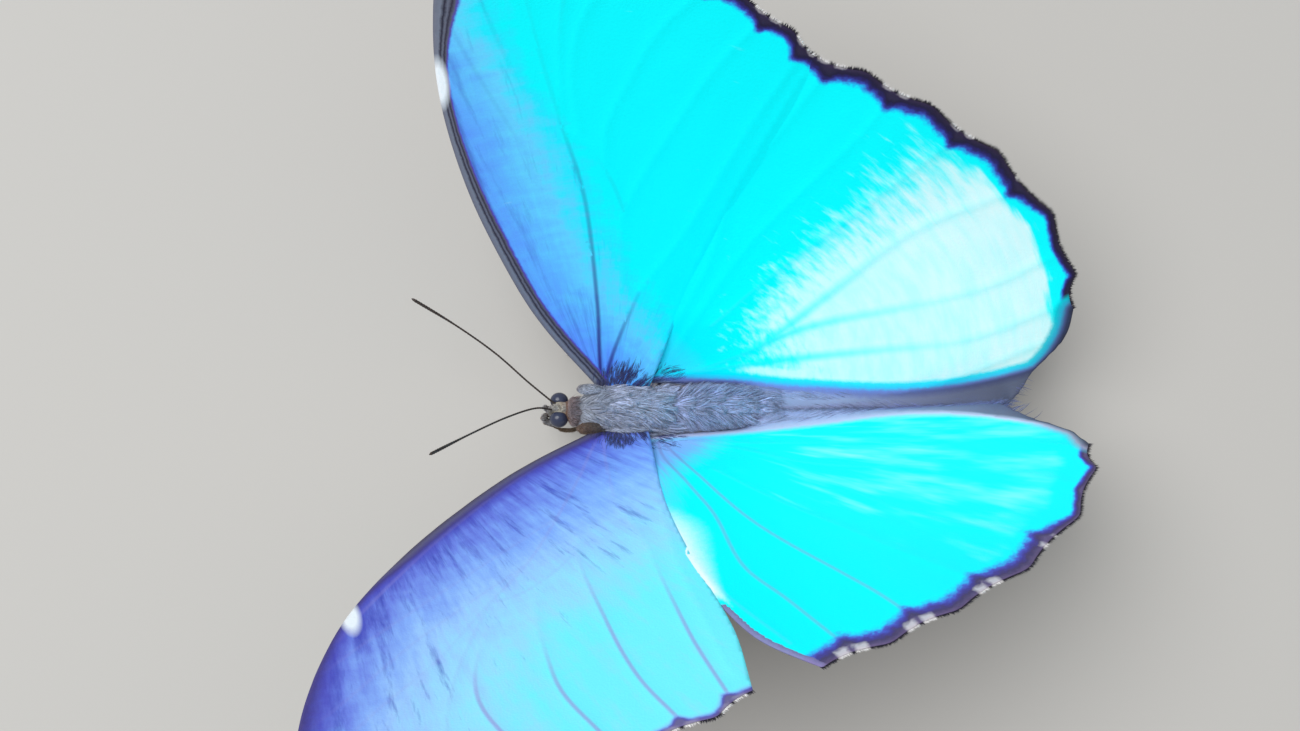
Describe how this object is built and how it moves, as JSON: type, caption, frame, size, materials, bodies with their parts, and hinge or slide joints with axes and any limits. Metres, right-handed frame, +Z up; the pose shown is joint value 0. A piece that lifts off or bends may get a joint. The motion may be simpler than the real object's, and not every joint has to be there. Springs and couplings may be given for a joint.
{
  "type": "blue morpho butterfly",
  "caption": "Life-size blue morpho butterfly standing on four legs, brilliant blue wings with thin black scalloped borders held up in a V, grey furry body.",
  "frame": {"origin": "on the floor under the middle of the bounding box", "axes": "+X towards the animal's left, -Y towards its head, +Z up"},
  "size_m": [0.1034, 0.0968, 0.0722],
  "materials": {
    "wing_scales": "structural blue scales above with black borders, brown below with ringed eyespots, satin sheen",
    "body_fur": "grey to olive-grey hair and scales, matt",
    "eye_cornea": "dark blue-black facetted compound eye, glossy",
    "bare_cuticle": "dark brown cuticle with fine scales, satin"
  },
  "bodies": {
    "root": {"abdomen": "body_fur", "antenna_left": "bare_cuticle", "antenna_right": "bare_cuticle", "eye_left": "eye_cornea", "eye_right": "eye_cornea", "foreleg_left": "body_fur", "foreleg_right": "body_fur", "forewing_left": "wing_scales", "forewing_right": "wing_scales", "head": "body_fur", "hindleg_left": "bare_cuticle", "hindleg_right": "bare_cuticle", "hindwing_left": "wing_scales", "hindwing_right": "wing_scales", "midleg_left": "bare_cuticle", "midleg_right": "bare_cuticle", "palp_left": "body_fur", "palp_right": "body_fur", "proboscis": "bare_cuticle", "tegula_left": "body_fur", "tegula_right": "body_fur", "thorax": "body_fur"}
  },
  "joints": []
}
